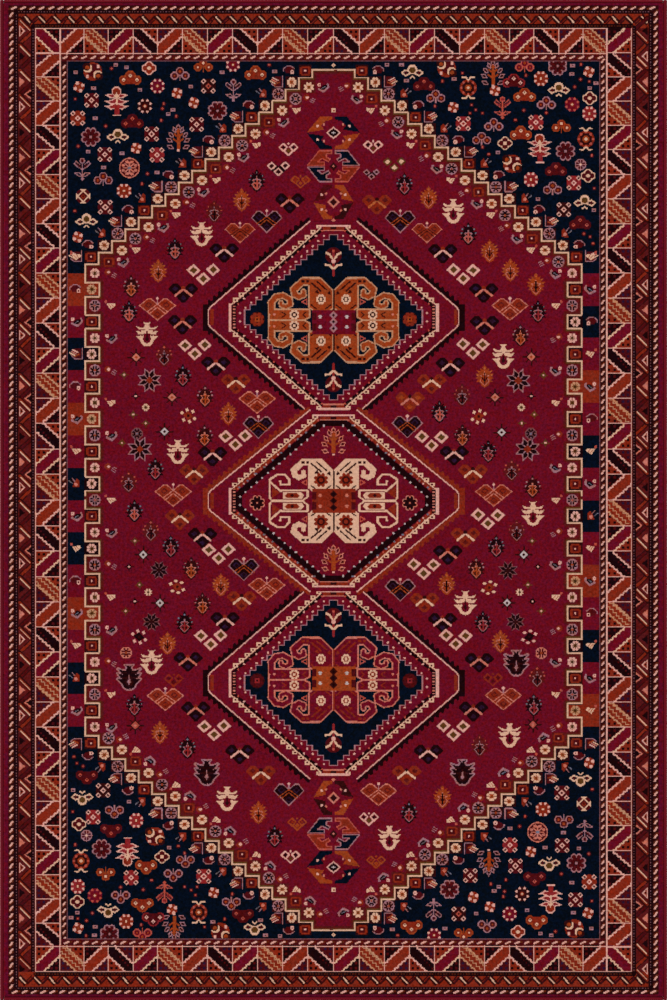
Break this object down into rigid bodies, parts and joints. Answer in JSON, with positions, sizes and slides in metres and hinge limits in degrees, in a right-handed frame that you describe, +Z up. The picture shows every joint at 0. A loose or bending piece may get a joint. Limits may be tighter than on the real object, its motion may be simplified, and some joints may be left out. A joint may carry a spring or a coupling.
{
  "type": "area rug",
  "caption": "Rectangular cut-pile area rug with a stepped red field, a row of hooked medallions, navy corners, banded borders and wrapped edges.",
  "frame": {"origin": "centre of the underside, on the floor", "axes": "+Z up out of the pile, +Y along the rug's length towards its head end, +X across its width"},
  "size_m": [1.6, 2.4, 0.012],
  "materials": {
    "latex_coat": "matt, cloth-marked",
    "ground_cotton": "undyed plain weave",
    "crimson_pile": "cut wool pile",
    "guard_pile": "cut wool pile",
    "rust_pile": "cut wool pile",
    "border_pile": "cut wool pile",
    "navy_pile": "cut wool pile",
    "edge_cord": "twisted cotton",
    "overcast_yarn": "wrapped wool yarn"
  },
  "bodies": {
    "root": {"backing_coat": "latex_coat", "ground_weave": "ground_cotton", "pile_outer_band": "crimson_pile", "pile_outer_guard": "guard_pile", "pile_minor_border": "rust_pile", "pile_main_border": "border_pile", "pile_inner_guard": "guard_pile", "pile_corner_head_left": "navy_pile", "pile_corner_head_right": "navy_pile", "pile_corner_foot_left": "navy_pile", "pile_corner_foot_right": "navy_pile", "pile_side_left": "rust_pile", "pile_side_right": "rust_pile", "pile_medallion_head": "navy_pile", "pile_medallion_middle": "navy_pile", "pile_medallion_foot": "navy_pile", "pile_field": "crimson_pile", "edge_cord_left": "edge_cord", "edge_cord_right": "edge_cord", "edge_cord_head": "edge_cord", "edge_cord_foot": "edge_cord", "overcast_left": "overcast_yarn", "overcast_right": "overcast_yarn", "overcast_head": "overcast_yarn", "overcast_foot": "overcast_yarn"}
  },
  "joints": []
}
